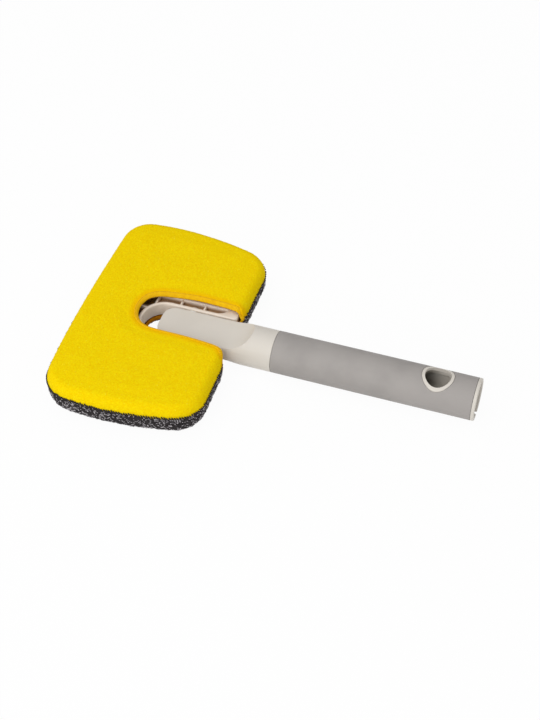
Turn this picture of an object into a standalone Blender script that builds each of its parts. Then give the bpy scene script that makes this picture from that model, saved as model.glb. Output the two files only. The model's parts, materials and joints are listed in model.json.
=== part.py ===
# Cleaning brush: a wide flat head in a sewn cover, and a handle that tilts in a slot of the head.
# Metres, +Z up. The brush lies flat. The handle runs along +X, the head is at -X, and the origin is
# on the floor under the middle of the brush's length.
import math

import bmesh
import bpy
from mathutils import Matrix, Vector

for old_object in list(bpy.data.objects):
    bpy.data.objects.remove(old_object, do_unlink=True)

# Driving sizes of the whole brush
overall_length = 0.3005
handle_diameter = 0.031
head_length = 0.1195
head_width = 0.1882
head_height_above_axis = 0.0133
pivot_from_head_front = 0.0805

# Fits that all the pieces share
fit_gap = 0.0003
overrun = 0.002

# Cover: plan outline, rounded edge and cloth
front_corner_radius = 0.0216
rear_corner_radius = 0.024
front_bow = 0.0034
rear_sweep = 0.001
side_bow_radius = 0.233
widest_from_head_front = 0.045
seam_above_axis = 0.0026
slot_corner_radius = 0.004
opening_round_from_pivot = 0.0138
least_corner_radius = 0.0008
edge_run = 0.0095
mouth_run = 0.006
crown_run = 0.008
crown_rise = 0.0007
mouth_drop = 0.002
cloth_thickness = 0.0012
floor_flat_depth = 0.0005
mouth_step = 0.0015

# Binding round the cover's opening
binding_diameter = 0.003
binding_bend_radius = 0.003

# Head frame
frame_half_height = 0.00575
frame_inset = 0.006
rim_wall = 0.0028
lip_rounding = 0.0012
hairpin_setback = 0.005
second_wall_spacing = 0.0076
second_wall_from_front = 0.0501
rib_thickness = 0.0018
rib_drop = 0.0006
rib_spacing = 0.0183
web_thickness = 0.0024
window_margin = 0.003
window_reach = 0.043
front_rib_from_middle = 0.0093

# Slot and joint
slot_side_clearance = 0.0007
slot_round_from_pivot = 0.0174
tongue_side_relief = 0.0009
pin_radius = 0.002
pin_head_radius = 0.0035
pin_head_height = 0.0014
boss_radius = 0.0045
boss_height = 0.0014
ring_radius = 0.0035
ring_height = 0.0008
pin_end_length = 0.0006
washer_radius = 0.005

# Tongue and neck
tongue_thickness = 0.0115
tongue_ahead_of_pivot = 0.0195
tongue_corner_radius = 0.0095
scoop_from_pivot = 0.0325
scoop_radius = 0.0264
side_relief_run = 0.006
neck_length = 0.0698
pocket_height = 0.0052
pocket_half_width = 0.009
pocket_from_pivot = 0.0115

# Grip, tube and tail
grip_thickness = 0.0016
core_wall = 0.0022
bore_past_grip = 0.007
tail_ring_length = 0.0033
tail_wall = 0.0025
tail_recess_depth = 0.006
tail_edge_chamfer = 0.0005
hole_from_tail = 0.0303
hole_radius = 0.0094
collar_wall = 0.0021
collar_inset = 0.0004
notch_width = 0.004
notch_depth = 0.0028

# Counts of steps round the curved shapes
round_steps = 64
small_round_steps = 24
front_steps = 4
corner_steps = 6
side_steps = 6
slot_corner_steps = 3
slot_round_steps = 7
edge_shares = (0, 0.25, 0.5, 0.75, 1)
lip_angles = (0, 45, 90)

# Places that follow from the sizes above
handle_radius = handle_diameter / 2
axis_z = handle_radius
front_x = -overall_length / 2
tail_x = overall_length / 2
head_rear_x = front_x + head_length
pivot_x = front_x + pivot_from_head_front
pivot = Vector((pivot_x, 0, axis_z))
widest_x = front_x + widest_from_head_front
side_centre_y = head_width / 2 - side_bow_radius
slot_round_x = pivot_x - slot_round_from_pivot
opening_round_x = pivot_x - opening_round_from_pivot
slot_half = handle_radius + slot_side_clearance
rim_centre = slot_half + rim_wall / 2
second_centre = rim_centre + second_wall_spacing
tongue_half = handle_radius - tongue_side_relief
boss_face = slot_half + rim_wall + boss_height
binding_radius = binding_diameter / 2
binding_half = second_centre - binding_radius - fit_gap
mouth_half = binding_half + binding_radius + fit_gap
slot_corner_x = head_rear_x - slot_corner_radius
hairpin_x = head_rear_x - hairpin_setback
hairpin_radius = second_wall_spacing / 2
hairpin_centre_x = hairpin_x - hairpin_radius - rim_wall / 2
second_front_x = front_x + second_wall_from_front
skin_depth = cloth_thickness + fit_gap
top_height = head_height_above_axis
bottom_height = handle_radius + floor_flat_depth
upper_mouth_z = top_height - crown_rise - mouth_drop
lower_mouth_z = bottom_height - crown_rise - floor_flat_depth - mouth_drop
grip_start = neck_length
grip_end = tail_x - pivot_x - tail_ring_length
tail_end = tail_x - pivot_x
hole_x = tail_x - hole_from_tail
core_radius = handle_radius - grip_thickness - fit_gap
bore_radius = core_radius - core_wall
bore_end = grip_start - bore_past_grip

brush = bpy.data.collections.new("cleaning_brush")
cutters = bpy.data.collections.new("cutters")
for collection in (brush, cutters):
    bpy.context.scene.collection.children.link(collection)


def finish(name, color, roughness, metallic=0.0):
    """A plain Principled material."""
    material = bpy.data.materials.new(name)
    material.use_nodes = True
    shader = material.node_tree.nodes["Principled BSDF"]
    shader.inputs["Base Color"].default_value = (*color, 1)
    shader.inputs["Roughness"].default_value = roughness
    shader.inputs["Metallic"].default_value = metallic
    return material


ivory = finish("ivory_plastic", (0.69, 0.64, 0.57), 0.45)
yellow = finish("yellow_scouring_cloth", (0.84, 0.60, 0.004), 0.95)
charcoal = finish("charcoal_knit", (0.045, 0.04, 0.045), 0.9)
orange = finish("orange_elastic", (0.82, 0.50, 0.01), 0.8)
sponge = finish("pale_sponge", (0.80, 0.76, 0.66), 1.0)
steel = finish("stainless_steel", (0.62, 0.62, 0.60), 0.3, 1.0)
acetal = finish("white_acetal", (0.85, 0.85, 0.82), 0.4)
soft_grey = finish("soft_grey_grip", (0.38, 0.36, 0.345), 0.6)


def own_material(solid, material):
    """Give a piece its own copy of a finish."""
    own = material.copy()
    own.name = solid.name + "_" + material.name
    solid.data.materials.clear()
    solid.data.materials.append(own)


def place(mesh_object, name, material=None):
    """Name a piece and put it in the brush, or among the cutters when it has no material."""
    mesh_object.name = name
    for collection in list(mesh_object.users_collection):
        collection.objects.unlink(mesh_object)
    if material is None:
        cutters.objects.link(mesh_object)
        mesh_object.hide_render = True
        mesh_object.display_type = "WIRE"
    else:
        brush.objects.link(mesh_object)
        own_material(mesh_object, material)
    return mesh_object


def mesh_object_from(name, form):
    """Turn a bmesh into an object with outward faces."""
    bmesh.ops.recalc_face_normals(form, faces=form.faces)
    mesh = bpy.data.meshes.new(name)
    form.to_mesh(mesh)
    form.free()
    made = bpy.data.objects.new(name, mesh)
    bpy.context.scene.collection.objects.link(made)
    return made


def plate(name, outline, half_height):
    """A flat outline with a height, as a mesh."""
    curve = bpy.data.curves.new(name, "CURVE")
    curve.dimensions = "2D"
    curve.fill_mode = "BOTH"
    curve.extrude = half_height
    spline = curve.splines.new("POLY")
    spline.points.add(len(outline) - 1)
    for point, (x, y) in zip(spline.points, outline):
        point.co = (x, y, 0, 1)
    spline.use_cyclic_u = True
    guide = bpy.data.objects.new(name, curve)
    bpy.context.scene.collection.objects.link(guide)
    evaluated = guide.evaluated_get(bpy.context.evaluated_depsgraph_get())
    mesh = bpy.data.meshes.new_from_object(evaluated)
    form = bmesh.new()
    form.from_mesh(mesh)
    bpy.data.objects.remove(guide, do_unlink=True)
    bmesh.ops.remove_doubles(form, verts=form.verts, dist=fit_gap / 100)
    bmesh.ops.dissolve_degenerate(form, edges=form.edges, dist=fit_gap / 100)
    return mesh_object_from(name, form)


def block(name, low, high):
    """A box between two corners, as a cutter or guide."""
    form = bmesh.new()
    bmesh.ops.create_cube(form, size=1)
    size = [top - bottom for bottom, top in zip(low, high)]
    middle = [(top + bottom) / 2 for bottom, top in zip(low, high)]
    bmesh.ops.transform(form, matrix=Matrix.LocRotScale(middle, None, size), verts=form.verts)
    return place(mesh_object_from(name, form), name)


def turned(name, profile, axis, origin, steps):
    """A shape turned about an axis. The profile is (radius, distance along the axis) pairs, which
    run down the outer side. It closes on the axis, or on itself when it stays off the axis."""
    mesh = bpy.data.meshes.new(name)
    edges = [(k, k + 1) for k in range(len(profile) - 1)]
    if profile[0][0] > 0:
        edges.append((len(profile) - 1, 0))
    mesh.from_pydata([(radius, 0, height) for radius, height in profile], edges, [])
    made = bpy.data.objects.new(name, mesh)
    bpy.context.scene.collection.objects.link(made)
    made.location = origin
    if axis == "X":
        made.rotation_euler = (0, math.pi / 2, 0)
    elif axis == "Y":
        made.rotation_euler = (-math.pi / 2, 0, 0)
    screw = made.modifiers.new("turn", "SCREW")
    screw.steps = steps
    screw.render_steps = steps
    screw.use_merge_vertices = True
    screw.merge_threshold = fit_gap / 100
    return made


def combine(target, tool, operation):
    """Add a live Boolean to a piece."""
    modifier = target.modifiers.new(operation.lower() + "_" + tool.name, "BOOLEAN")
    modifier.operation = operation
    modifier.solver = "EXACT"
    modifier.object = tool


def arc(centre, radius, start, end, steps):
    """Points on an arc, with its angles in degrees."""
    points = []
    for k in range(steps + 1):
        angle = math.radians(start + (end - start) * k / steps)
        points.append((centre[0] + radius * math.cos(angle), centre[1] + radius * math.sin(angle)))
    return points


def mirrored(points):
    """The same points on the other side of the brush's middle plane, in reverse order."""
    return [(x, -y) for x, y in reversed(points) if y > 0]


def side_corner(edge_x, facing, inset):
    """Centre, radius and far angle of the corner between a straight edge and the bowed side."""
    full_radius = front_corner_radius if facing < 0 else rear_corner_radius
    radius = max(full_radius - inset, least_corner_radius)
    centre_x = edge_x - facing * (inset + radius)
    reach = side_bow_radius - inset - radius
    centre_y = side_centre_y + math.sqrt(reach ** 2 - (centre_x - widest_x) ** 2)
    angle = math.degrees(math.atan2(centre_y - side_centre_y, centre_x - widest_x))
    return (centre_x, centre_y), radius, angle


def bowed(points):
    """The front edge draws back towards its corners, and the rear edges reach out there."""
    middle_x = (front_x + head_rear_x) / 2
    moved = []
    for x, y in points:
        away = (2 * y / head_width) ** 2
        forward = max(middle_x - x, 0) / (head_length / 2)
        back = max(x - middle_x, 0) / (head_length / 2)
        moved.append((x + away * (front_bow * forward + rear_sweep * back), y))
    return moved


def perimeter_half(inset):
    """The cover's outline at +Y, from the middle of the front edge to the end of the rear corner."""
    front_centre, front_radius, front_angle = side_corner(front_x, -1, inset)
    rear_centre, rear_radius, rear_angle = side_corner(head_rear_x, 1, inset)
    points = [(front_x + inset, front_centre[1] * k / front_steps) for k in range(front_steps)]
    points += arc(front_centre, front_radius, 180, front_angle, corner_steps)
    points += arc((widest_x, side_centre_y), side_bow_radius - inset, front_angle, rear_angle,
                  side_steps)[1:-1]
    points += arc(rear_centre, rear_radius, rear_angle, 0, corner_steps)
    return bowed(points)


def cover_ring(inset, edge_side_inset, mouth_inset, edge_z, mouth_z):
    """One loop of the cover: the rolled outer edge stands at edge_z, the slot's mouth at mouth_z."""
    edge = perimeter_half(inset)
    radius = max(slot_corner_radius - inset, least_corner_radius)
    centre = (head_rear_x - inset - radius, mouth_half + edge_side_inset + radius)
    edge += arc(centre, radius, 0, -90, slot_corner_steps)
    mouth_y = mouth_half + mouth_inset
    mouth = [(centre[0] - mouth_step, mouth_y), ((centre[0] + opening_round_x) / 2, mouth_y)]
    mouth += arc((opening_round_x, 0), mouth_y, 90, 180, slot_round_steps)
    half = [(x, y, edge_z) for x, y in edge] + [(x, y, mouth_z) for x, y in mouth]
    other = [(x, -y, z) for x, y, z in reversed(half[1:-1])]
    return half + other


def edge_level(height, depth, angle):
    """Inset, side inset and height of the rolled edge at one angle of its quarter ellipse."""
    turn = math.radians(angle)
    inset = edge_run - (edge_run - depth) * math.cos(turn)
    side = mouth_run - (mouth_run - depth) * math.cos(turn)
    return inset, side, (height - crown_rise - depth) * math.sin(turn)


def mouth_level(height, mouth_z, depth, share):
    """Inset and height of the cloth beside the slot at a share of its roll."""
    turn = math.pi / 2 * share
    rise = height - crown_rise - mouth_z
    return mouth_run * (1 - math.cos(turn)), mouth_z + rise * math.sin(turn) - depth


def crown_ring(height, depth):
    """The loop where the cover's face reaches its full height."""
    level = height - depth
    return cover_ring(edge_run + crown_run, mouth_run + crown_run, mouth_run + crown_run, level, level)


def seam_level(depth):
    """Inset, side inset, height and angle of the upper half's rolled edge at the seam."""
    angle = math.degrees(math.asin(seam_above_axis / (top_height - crown_rise - depth)))
    return *edge_level(top_height, depth, angle), angle


def upper_levels(depth):
    """Levels of the upper half's rolled edge, from the seam to the crown."""
    low = seam_level(depth)[3]
    return [edge_level(top_height, depth, low + (90 - low) * share) for share in edge_shares]


def lower_levels(depth):
    """Levels of the lower half's rolled edge: the seam, which stands above the axis, comes first."""
    inset, side, level, angle = seam_level(depth)
    quarter = [edge_level(bottom_height, depth, 90 * share) for share in edge_shares]
    return [(inset, side, -level)] + quarter


def skin_rings(levels, height, mouth_z, depth):
    """Loops of one cover surface from its seam to its crown, at a depth under the outer surface."""
    rings = []
    for number, (inset, side, edge_z) in enumerate(levels):
        share = number / (len(levels) - 1)
        mouth_inset, mouth_level_z = mouth_level(height, mouth_z, depth, share)
        rings.append(cover_ring(inset, side, mouth_inset, edge_z + fit_gap / 2, mouth_level_z))
    rings.append(crown_ring(height, depth))
    return rings


def pad_rings(height, depth):
    """Loops of a foam pad: a flat back on the frame, and a face that follows the cover's inside."""
    back = frame_half_height + fit_gap
    low = math.degrees(math.asin(back / (height - crown_rise - depth)))
    rings = []
    for share in (0, 0.4, 1):
        inset, side, level = edge_level(height, depth, low + (90 - low) * share)
        rings.append(cover_ring(inset, mouth_run, mouth_run, level, level))
    rings.append(crown_ring(height, depth))
    return rings


def loft(name, rings, material):
    """Join loops of points into one closed solid with capped ends."""
    form = bmesh.new()
    loops = [[form.verts.new(point) for point in ring] for ring in rings]
    count = len(loops[0])
    for lower, upper in zip(loops, loops[1:]):
        for k in range(count):
            after = (k + 1) % count
            form.faces.new((lower[k], lower[after], upper[after], upper[k]))
    ends = [form.faces.new(loops[0]), form.faces.new(loops[-1])]
    bmesh.ops.triangulate(form, faces=ends, ngon_method="EAR_CLIP")
    made = mesh_object_from(name, form)
    made.data.shade_smooth()
    made.data.set_sharp_from_angle(angle=math.radians(45))
    return place(made, name, material)


def from_axis(rings, facing):
    """Loops measured from the axis, above it or below it, as places over the floor."""
    return [[(x, y, axis_z + max(facing * z, -handle_radius)) for x, y, z in ring]
            for ring in rings]


def cover_half(name, levels, height, mouth_z, facing, material):
    """One cloth half of the sewn cover: outer surface down to the seam and inner surface back up."""
    outer = skin_rings(levels(0), height, mouth_z, 0)
    inner = skin_rings(levels(cloth_thickness), height, mouth_z, cloth_thickness)
    return loft(name, from_axis(list(reversed(outer)) + inner, facing), material)


def build_cover():
    """The yellow and grey halves, and the foam pads that fill them over the frame."""
    cover_half("scouring_face", upper_levels, top_height, upper_mouth_z, 1, yellow)
    cover_half("scrub_face", lower_levels, bottom_height, lower_mouth_z, -1, charcoal)
    upper_pad = pad_rings(top_height, skin_depth)
    lower_pad = pad_rings(bottom_height, skin_depth + floor_flat_depth)
    loft("upper_foam_pad", from_axis(upper_pad, 1), sponge)
    loft("lower_foam_pad", from_axis(lower_pad, -1), sponge)


def binding_route():
    """The elastic's loop: forward along the upper mouth, down at the rear corners, and back below."""
    rear = slot_corner_x + binding_radius
    bend = binding_bend_radius
    upper_z = upper_mouth_z - cloth_thickness / 2
    lower_z = -(lower_mouth_z - cloth_thickness / 2)
    middle = (rear - bend + opening_round_x) / 2
    run = [(rear - bend, binding_half), (middle, binding_half)]
    run += arc((opening_round_x, 0), binding_half, 90, 180, slot_round_steps)
    run += mirrored(run)
    route = [(x, y, upper_z) for x, y in run]
    bend_down = arc((rear - bend, upper_z - bend), bend, 90, 0, slot_corner_steps)
    bend_back = arc((rear - bend, lower_z + bend), bend, 0, -90, slot_corner_steps)
    corner = bend_down[1:] + bend_back[:-1]
    route += [(x, -binding_half, z) for x, z in corner]
    route += [(x, y, lower_z) for x, y in reversed(run)]
    route += [(x, binding_half, z) for x, z in reversed(corner)]
    return route


def build_binding():
    """The binding is one closed tube along its loop."""
    route = binding_route()
    curve = bpy.data.curves.new("opening_binding", "CURVE")
    curve.dimensions = "3D"
    curve.bevel_depth = binding_radius
    curve.bevel_resolution = 2
    spline = curve.splines.new("POLY")
    spline.points.add(len(route) - 1)
    for point, (x, y, z) in zip(spline.points, route):
        point.co = (x, y, axis_z + z, 1)
    spline.use_cyclic_u = True
    place(bpy.data.objects.new("opening_binding", curve), "opening_binding", orange)


def band(path, width):
    """The outline of a wall of even width along an open path."""
    left, right = [], []
    for k, (x, y) in enumerate(path):
        before = path[max(k - 1, 0)]
        after = path[min(k + 1, len(path) - 1)]
        along = Vector((after[0] - before[0], after[1] - before[1])).normalized()
        left.append((x - along.y * width / 2, y + along.x * width / 2))
        right.append((x + along.y * width / 2, y - along.x * width / 2))
    return left + right[::-1]


def rim_path_half():
    """Middle of the slot rim at +Y, from the hairpin's start at the second wall to the slot's end."""
    middle_y = (rim_centre + second_centre) / 2
    path = arc((hairpin_centre_x, middle_y), hairpin_radius, 90, -90, corner_steps)
    path += arc((slot_round_x, 0), rim_centre, 90, 180, slot_round_steps)
    return path


def frame_plate(name, outline, half_height):
    """A level plate of the head frame, as a guide."""
    made = plate(name, outline, half_height)
    made.location.z = axis_z
    return place(made, name)


def frame_web():
    """The sheet at the frame's middle height, from the slot rim to the outer wall."""
    slot_side = rim_path_half()
    outside = perimeter_half(frame_inset + rim_wall / 2)
    rear = [(head_rear_x - frame_inset - rim_wall / 2, second_centre)]
    half = outside + rear + slot_side
    return frame_plate("frame_web", half + mirrored(half), web_thickness / 2)


def frame_outer_wall():
    """The wall round the frame's edge, from one hairpin to the other."""
    rear_x = head_rear_x - frame_inset - rim_wall / 2
    path = perimeter_half(frame_inset + rim_wall / 2)[1:]
    path += [(rear_x, second_centre - rim_wall / 2)]
    wall = band(mirrored(path) + path, rim_wall)
    return frame_plate("frame_outer_wall", wall, frame_half_height - rib_drop / 2)


def rib_places():
    """Where the ribs across the head stand, from the one at the second wall's front end."""
    return [second_front_x + rim_wall / 2 + rib_spacing * k for k in range(3)]


def frame_ribs():
    """Ribs across each side of the head, and two ribs forward from the slot's round end."""
    ribs = []
    half_height = frame_half_height - rib_drop
    front = front_x + frame_inset + rim_wall / 2
    round_x = slot_round_x - math.sqrt(rim_centre ** 2 - front_rib_from_middle ** 2)
    for side in (1, -1):
        for number, x in enumerate(rib_places()):
            near = math.sqrt(rim_centre ** 2 - max(slot_round_x - x, 0) ** 2)
            reach = side_centre_y + math.sqrt(side_bow_radius ** 2 - (x - widest_x) ** 2)
            far = reach - frame_inset - rim_wall / 2
            line = band([(x, side * near), (x, side * far)], rib_thickness)
            ribs.append(frame_plate(f"frame_rib_{number}_{side}", line, half_height))
        y = side * front_rib_from_middle
        line = band([(round_x, y), (front, y)], rib_thickness)
        ribs.append(frame_plate(f"frame_front_rib_{side}", line, half_height))
    return ribs


def web_windows():
    """Drain windows through the web between the ribs. The middle ones also clear the pivot pin."""
    windows = []
    half = web_thickness / 2 + overrun
    places = rib_places() + [hairpin_centre_x]
    margin = rib_thickness / 2 + window_margin
    inner = second_centre + rim_wall / 2 + window_margin
    for side in (1, -1):
        for number, (start, end) in enumerate(zip(places, places[1:])):
            near, far = sorted((side * inner, side * (inner + window_reach)))
            windows.append(block(f"web_window_{number}_{side}", (start + margin, near, axis_z - half),
                                 (end - margin, far, axis_z + half)))
        near, far = sorted((side * (slot_half + rim_wall + fit_gap),
                            side * (second_centre - rim_wall / 2 - fit_gap)))
        pin_half = boss_radius + fit_gap
        windows.append(block(f"pin_window_{side}", (pivot_x - pin_half, near, axis_z - half),
                             (pivot_x + pin_half, far, axis_z + half)))
    return windows


def pivot_bosses():
    """Round bosses on the slot rim's outer sides, which lengthen the pin's seats."""
    bosses = []
    for side in (1, -1):
        low, high = sorted((side * rim_centre, side * boss_face))
        profile = [(0, high), (boss_radius, high), (boss_radius, low), (0, low)]
        bosses.append(place(turned(f"pivot_boss_{side}", profile, "Y", pivot, small_round_steps),
                            f"pivot_boss_{side}"))
    return bosses


def pin_bore(reach, name):
    """The pin's bore, out to a reach on both sides of the middle plane."""
    bore = [(0, reach), (pin_radius + fit_gap, reach), (pin_radius + fit_gap, -reach), (0, -reach)]
    return place(turned(name, bore, "Y", pivot, small_round_steps), name)


def pin_way():
    """The way in for the pin, through the second wall at -Y."""
    way_radius = pin_head_radius + fit_gap
    near = -(second_centre - rim_wall / 2 - fit_gap)
    far = -(second_centre + rim_wall / 2 + window_margin + fit_gap)
    way = [(0, near), (way_radius, near), (way_radius, far), (0, far)]
    return place(turned("pin_way", way, "Y", pivot, small_round_steps), "pin_way")


def build_frame():
    """Slot rim and hairpins first, and then everything that is moulded on to them."""
    path = [(second_front_x, second_centre)] + rim_path_half()
    path += mirrored(path)
    turns = [math.radians(lip_turn) for lip_turn in lip_angles]
    section = [(rim_wall - 2 * lip_rounding * (1 - math.cos(turn)),
                frame_half_height - lip_rounding * (1 - math.sin(turn))) for turn in turns]
    section = [(width, -height) for width, height in reversed(section)] + section
    rings = [[(x, y, axis_z + height) for x, y in band(path, width)] for width, height in section]
    frame = loft("head_frame", rings, ivory)
    for guide in [frame_outer_wall(), frame_web()] + frame_ribs():
        combine(frame, guide, "UNION")
    combine(frame, pin_way(), "DIFFERENCE")
    for cutter in web_windows():
        combine(frame, cutter, "DIFFERENCE")
    for guide in pivot_bosses():
        combine(frame, guide, "UNION")
    combine(frame, pin_bore(boss_face + overrun, "frame_pin_bore"), "DIFFERENCE")


def build_pivot():
    """Headed pin, push-on ring at its far end, and a friction washer each side of the tongue."""
    head_near = -(boss_face + fit_gap)
    head_far = head_near - pin_head_height
    ring_near = boss_face + fit_gap
    pin_far = ring_near + ring_height + pin_end_length
    pin = [(0, pin_far), (pin_radius, pin_far), (pin_radius, head_near), (pin_head_radius, head_near),
           (pin_head_radius, head_far), (0, head_far)]
    place(turned("pivot_pin", pin, "Y", pivot, small_round_steps), "pivot_pin", steel)
    bore = pin_radius + fit_gap
    ring = [(bore, ring_near + ring_height), (ring_radius, ring_near + ring_height),
            (ring_radius, ring_near), (bore, ring_near)]
    place(turned("pin_retaining_ring", ring, "Y", pivot, small_round_steps), "pin_retaining_ring",
          steel)
    inner, outer = tongue_half + fit_gap, slot_half - fit_gap
    for name, side in (("friction_washer_left", -1), ("friction_washer_right", 1)):
        low, high = sorted((side * inner, side * outer))
        washer = [(bore, high), (washer_radius, high), (washer_radius, low), (bore, low)]
        place(turned(name, washer, "Y", pivot, small_round_steps), name, acetal)


def ride_on_pivot(piece):
    """Hang a piece of the handle on the empty at the tilt axis."""
    piece.parent = tilt_axis
    piece.matrix_parent_inverse = tilt_axis.matrix_basis.inverted()


def tongue_plan_cutter():
    """What is cut off round the tongue in plan: a collar with the tongue's rounded outline in it."""
    tip = -tongue_ahead_of_pivot
    corner = tongue_corner_radius
    out = handle_radius + overrun
    slope = side_relief_run / tongue_side_relief
    slope_end = scoop_from_pivot + (out - tongue_half) * slope
    tongue = arc((tip + corner, tongue_half - corner), corner, 180, 90, corner_steps)
    tongue += [(scoop_from_pivot, tongue_half), (slope_end, out)]
    ahead = [(tip - overrun, out), (tip - overrun, -out)]
    made = plate("tongue_plan", mirrored(tongue) + tongue + ahead, handle_radius + overrun)
    made.location = pivot
    return place(made, "tongue_plan")


def tongue_face_cutter(side):
    """What is cut off above or below the tongue: the flat and the hollow scoop behind it."""
    flat = tongue_thickness / 2
    out = handle_radius + overrun
    rise = min(out - flat, scoop_radius)
    sweep = math.degrees(math.acos(1 - rise / scoop_radius))
    scoop = arc((scoop_from_pivot, flat + scoop_radius), scoop_radius, -90, -90 + sweep,
                corner_steps + side_steps)
    outline = [(-tongue_ahead_of_pivot - overrun, flat)] + scoop
    outline.append((-tongue_ahead_of_pivot - overrun, out))
    outline = [(x, side * z) for x, z in outline]
    made = plate(f"tongue_face_{side}", outline, handle_radius + overrun)
    made.rotation_euler = (math.pi / 2, 0, 0)
    made.location = pivot
    return place(made, f"tongue_face_{side}")


def hole_prism(name, radius, rise):
    """A round prism through the handle at the hanging hole."""
    profile = [(0, rise), (radius, rise), (radius, -rise), (0, -rise)]
    made = turned(name, profile, "Z", (hole_x, 0, axis_z), round_steps)
    return place(made, name)


def hole_collar():
    """The core's wall thickens to the grip's surface in a collar round the hanging hole."""
    half = hole_radius + collar_wall + overrun
    near, far = hole_x - pivot_x - half, hole_x - pivot_x + half
    inner = bore_radius + collar_inset
    profile = [(inner, far), (handle_radius, far), (handle_radius, near), (inner, near)]
    made = place(turned("hole_collar", profile, "X", pivot, round_steps), "hole_collar")
    rim = hole_prism("collar_outline", hole_radius + collar_wall, handle_radius + overrun)
    combine(made, rim, "INTERSECT")
    return made


def build_core():
    """The handle's ivory moulding: tongue, neck, hollow tube, collar and tail ring."""
    edge = tail_edge_chamfer
    tail_bore = handle_radius - tail_wall
    profile = [(0, bore_end), (bore_radius, bore_end), (bore_radius, tail_end - tail_recess_depth),
               (tail_bore, tail_end - tail_recess_depth), (tail_bore, tail_end),
               (handle_radius - edge, tail_end), (handle_radius, tail_end - edge),
               (handle_radius, grip_end), (core_radius, grip_end), (core_radius, grip_start),
               (handle_radius, grip_start), (handle_radius, -tongue_ahead_of_pivot),
               (0, -tongue_ahead_of_pivot)]
    core = place(turned("handle_core", profile, "X", pivot, round_steps), "handle_core", ivory)
    combine(core, tongue_plan_cutter(), "DIFFERENCE")
    for side in (1, -1):
        combine(core, tongue_face_cutter(side), "DIFFERENCE")
    combine(core, hole_collar(), "UNION")
    combine(core, hole_prism("hanging_hole", hole_radius, handle_radius + overrun), "DIFFERENCE")
    pocket = block("tongue_pocket",
                   (pivot_x + pocket_from_pivot, -pocket_half_width, axis_z - pocket_height / 2),
                   (pivot_x + bore_end + overrun, pocket_half_width, axis_z + pocket_height / 2))
    combine(core, pocket, "DIFFERENCE")
    notch = block("drain_notch", (tail_x - notch_depth, -notch_width / 2, -overrun),
                  (tail_x + overrun, notch_width / 2, axis_z - bore_radius + overrun))
    combine(core, notch, "DIFFERENCE")
    combine(core, pin_bore(handle_radius + overrun, "tongue_pin_bore"), "DIFFERENCE")
    ride_on_pivot(core)


def build_grip():
    """The soft grip round the tube, with a round gap for the collar of the hanging hole."""
    start, end = grip_start + fit_gap, grip_end - fit_gap
    inner = handle_radius - grip_thickness
    profile = [(inner, end), (handle_radius, end), (handle_radius, start), (inner, start)]
    grip = place(turned("grip_sleeve", profile, "X", pivot, round_steps), "grip_sleeve", soft_grey)
    gap = hole_prism("grip_gap", hole_radius + collar_wall + fit_gap, handle_radius + overrun)
    combine(grip, gap, "DIFFERENCE")
    ride_on_pivot(grip)


tilt_axis = bpy.data.objects.new("tilt_axis", None)
tilt_axis.location = pivot
brush.objects.link(tilt_axis)
build_cover()
build_binding()
build_frame()
build_pivot()
build_core()
build_grip()
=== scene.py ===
import json
import math
import random

import bmesh
import bpy
from mathutils import Matrix, Vector, noise
from mathutils.kdtree import KDTree


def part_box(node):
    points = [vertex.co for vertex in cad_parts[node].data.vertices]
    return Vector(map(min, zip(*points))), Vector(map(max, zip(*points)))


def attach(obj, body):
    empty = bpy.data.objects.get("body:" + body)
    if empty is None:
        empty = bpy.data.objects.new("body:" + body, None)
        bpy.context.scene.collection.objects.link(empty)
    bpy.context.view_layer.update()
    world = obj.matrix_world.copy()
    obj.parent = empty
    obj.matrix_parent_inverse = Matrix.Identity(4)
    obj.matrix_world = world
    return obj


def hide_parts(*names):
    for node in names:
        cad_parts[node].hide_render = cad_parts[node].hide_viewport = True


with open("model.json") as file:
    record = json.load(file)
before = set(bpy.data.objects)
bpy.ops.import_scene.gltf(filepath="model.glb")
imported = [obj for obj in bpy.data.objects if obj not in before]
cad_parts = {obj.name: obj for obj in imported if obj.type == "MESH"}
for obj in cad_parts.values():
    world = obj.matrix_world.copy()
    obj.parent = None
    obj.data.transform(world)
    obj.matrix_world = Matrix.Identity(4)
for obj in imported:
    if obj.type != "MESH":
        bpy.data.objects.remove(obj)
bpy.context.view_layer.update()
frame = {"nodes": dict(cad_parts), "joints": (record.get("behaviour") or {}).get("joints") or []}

# The head frame is one injection-moulded ivory piece under the cover: a slot rim with rounded lips
# and turned-back ends, a second wall, ribs, and a web with drain windows out to the outer wall. The
# pivot pin runs through the bosses on the rim.
axis_z = frame["joints"][0]["pos_m"][2]
pivot_x = frame["joints"][0]["pos_m"][0]
front_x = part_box("scrub_face")[0].x
half_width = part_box("scrub_face")[1].y
head_length = 0.1195
rear_x = front_x + head_length
side_bow_radius, side_bow_rise = 0.233, 0.00001
widest_x = front_x + 0.045
rear_corner, front_corner, least_corner = 0.024, 0.0216, 0.001
front_draw, rear_reach = 0.0034, 0.001
edge_steps, corner_steps, side_steps = 8, 6, 10
merge_distance = 0.00001
overlap = 0.001
rim_half_height = 0.00575
slot_half = 0.0162
rim_wall = 0.0028
slot_round_x = pivot_x - 0.0174
second_inner = slot_half + rim_wall + 0.0048
second_outer = second_inner + rim_wall
tip_radius = rim_wall / 2
second_tip_x = front_x + 0.0501 + tip_radius
turned_end_x = rear_x - 0.005
turned_outer, turned_inner = 0.0042, 0.0028
pocket_end_x = turned_end_x - 0.0102
pocket_corner = 0.0009
pocket_slope_x, pocket_slope_width = turned_end_x - 0.0116, 0.0017
pocket_start_x = turned_end_x - 0.0155
lip_rounding = 0.0011
rib_thickness, rib_rounding = 0.0016, 0.0004
rib_drop = 0.0006
rib_pitch = 0.0183
rib_end_y = half_width - 0.0065
front_rib_y = 0.0093
web_half = 0.0012
frame_inset = 0.006
wall_overlap = 0.0005
boss_radius, boss_taper, boss_height = 0.0045, 0.0003, 0.0014
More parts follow.
